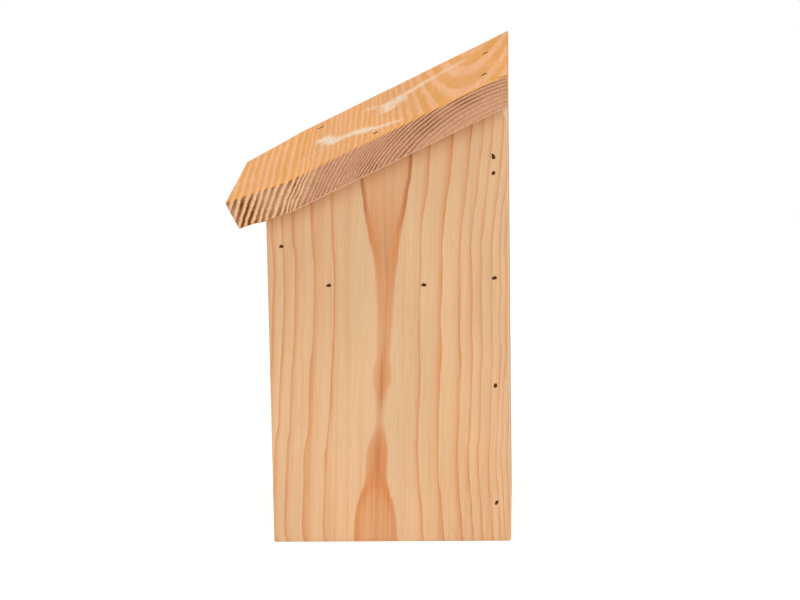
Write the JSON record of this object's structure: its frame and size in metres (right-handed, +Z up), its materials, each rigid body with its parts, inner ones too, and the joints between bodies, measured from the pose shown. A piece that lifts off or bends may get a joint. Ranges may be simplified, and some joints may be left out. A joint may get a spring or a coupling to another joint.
{
  "type": "bee hotel",
  "caption": "Bee hotel: a nailed softwood box with a pitched overhanging roof, its open nest chamber filled with bamboo canes, and a hole in the back to hang it by.",
  "frame": {"origin": "on the ground, under the middle of the part's box", "axes": "+Z up, -Y towards the open front, +X towards the part's right side as seen in the picture"},
  "size_m": [0.164, 0.1738, 0.3016],
  "materials": {
    "pale_softwood": "planed, bare",
    "roof_softwood": "planed, oiled",
    "brad_steel": "dull, coated",
    "bamboo": "dried, bare"
  },
  "bodies": {
    "root": {"right_side": "pale_softwood", "left_side": "pale_softwood", "back_board": "pale_softwood", "floor_board": "pale_softwood", "shelf": "pale_softwood", "fascia": "pale_softwood", "roof_board": "roof_softwood", "right_side_brads": "brad_steel", "left_side_brads": "brad_steel", "roof_brads": "brad_steel", "floor_brads": "brad_steel", "cane_01": "bamboo", "cane_02": "bamboo", "cane_03": "bamboo", "cane_04": "bamboo", "cane_05": "bamboo", "cane_06": "bamboo", "cane_07": "bamboo", "cane_08": "bamboo", "cane_09": "bamboo", "cane_10": "bamboo", "cane_11": "bamboo", "cane_12": "bamboo", "cane_13": "bamboo", "cane_14": "bamboo", "cane_15": "bamboo", "cane_16": "bamboo", "cane_17": "bamboo", "cane_18": "bamboo", "cane_19": "bamboo", "cane_20": "bamboo", "cane_21": "bamboo", "cane_22": "bamboo", "cane_23": "bamboo", "cane_24": "bamboo", "cane_25": "bamboo", "cane_26": "bamboo", "cane_27": "bamboo", "cane_28": "bamboo"}
  },
  "joints": []
}
